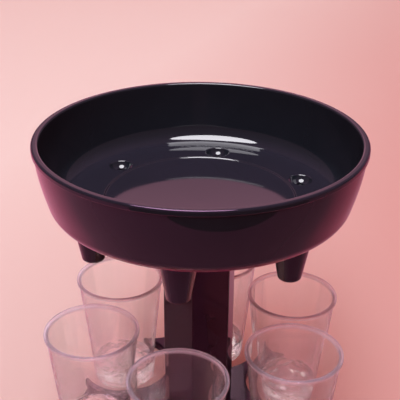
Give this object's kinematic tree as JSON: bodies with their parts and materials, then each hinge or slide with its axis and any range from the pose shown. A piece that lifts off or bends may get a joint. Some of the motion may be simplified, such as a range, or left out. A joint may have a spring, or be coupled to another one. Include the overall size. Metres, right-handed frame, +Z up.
{
  "type": "party shot dispenser",
  "caption": "Shallow round bowl with spouts moulded under it, on a hexagonal column and a star-shaped base whose scallops hold clear tumblers.",
  "frame": {"origin": "on the table, under the centre of the column", "axes": "+Z up, -Y towards the front cup"},
  "size_m": [0.1502, 0.1534, 0.156],
  "materials": {
    "black_plastic": "glossy moulded black plastic",
    "clear_plastic": "clear moulded hard plastic"
  },
  "bodies": {
    "stand": {"star_base": "black_plastic", "column": "black_plastic"},
    "bowl_body": {"bowl": "black_plastic"},
    "cup_front_body": {"cup_front": "clear_plastic"},
    "cup_front_right_body": {"cup_front_right": "clear_plastic"},
    "cup_back_right_body": {"cup_back_right": "clear_plastic"},
    "cup_back_body": {"cup_back": "clear_plastic"},
    "cup_back_left_body": {"cup_back_left": "clear_plastic"},
    "cup_front_left_body": {"cup_front_left": "clear_plastic"}
  },
  "joints": [
    {"name": "bowl_lift", "type": "slide", "parent": "stand", "child": "bowl_body", "axis": [0, 0, 1], "range_m": [0, 0.03]},
    {"name": "cup_front_slide", "type": "slide", "parent": "stand", "child": "cup_front_body", "axis": [0, -1, 0], "range_m": [0, 0.06]},
    {"name": "cup_front_right_slide", "type": "slide", "parent": "stand", "child": "cup_front_right_body", "axis": [0.8949, -0.4462, 0], "range_m": [0, 0.06]},
    {"name": "cup_back_right_slide", "type": "slide", "parent": "stand", "child": "cup_back_right_body", "axis": [0.8712, 0.4909, 0], "range_m": [0, 0.06]},
    {"name": "cup_back_slide", "type": "slide", "parent": "stand", "child": "cup_back_body", "axis": [0, 1, 0], "range_m": [0, 0.06]},
    {"name": "cup_back_left_slide", "type": "slide", "parent": "stand", "child": "cup_back_left_body", "axis": [-0.8846, 0.4664, 0], "range_m": [0, 0.06]},
    {"name": "cup_front_left_slide", "type": "slide", "parent": "stand", "child": "cup_front_left_body", "axis": [-0.8862, -0.4633, 0], "range_m": [0, 0.06]}
  ]
}
